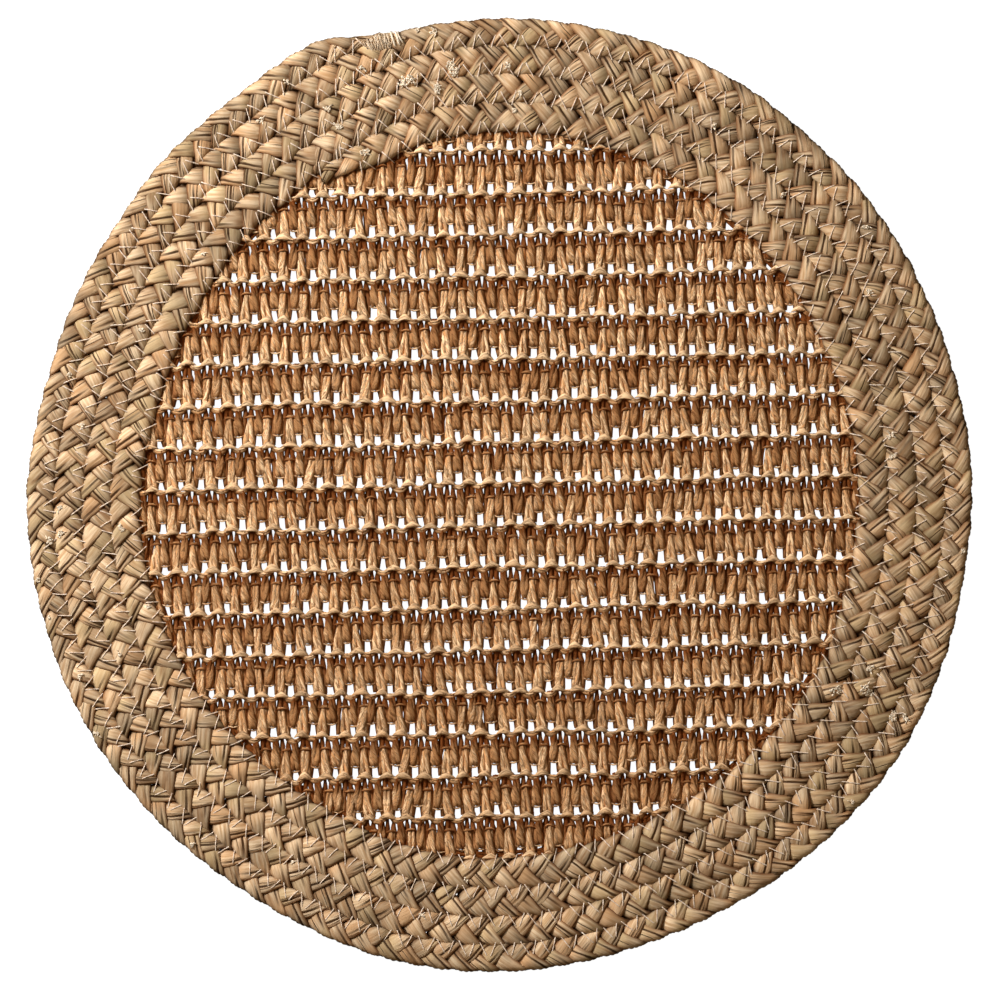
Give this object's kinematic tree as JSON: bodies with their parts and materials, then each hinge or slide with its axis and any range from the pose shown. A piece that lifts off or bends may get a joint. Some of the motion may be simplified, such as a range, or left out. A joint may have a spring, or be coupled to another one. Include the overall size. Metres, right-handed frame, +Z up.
{
  "type": "round braided placemat",
  "caption": "Round table mat: an open crochet disc in twisted plant fibre inside a wide, flat border of one long braid, wound as a spiral and sewn together.",
  "frame": {"origin": "on the table under the middle of the mat's outline", "axes": "+Z up through the mat, which lies flat; +Y towards the side where both ends of the braid are, and the crochet's rows run nearly along X"},
  "size_m": [0.3788, 0.3822, 0.005],
  "materials": {
    "seagrass": "dry flat leaf, faintly shiny",
    "raffia": "dry twisted fibre, matte",
    "thread": "pale matte sewing thread"
  },
  "bodies": {
    "root": {"braided_border": "seagrass", "crochet_panel": "raffia"}
  },
  "joints": []
}
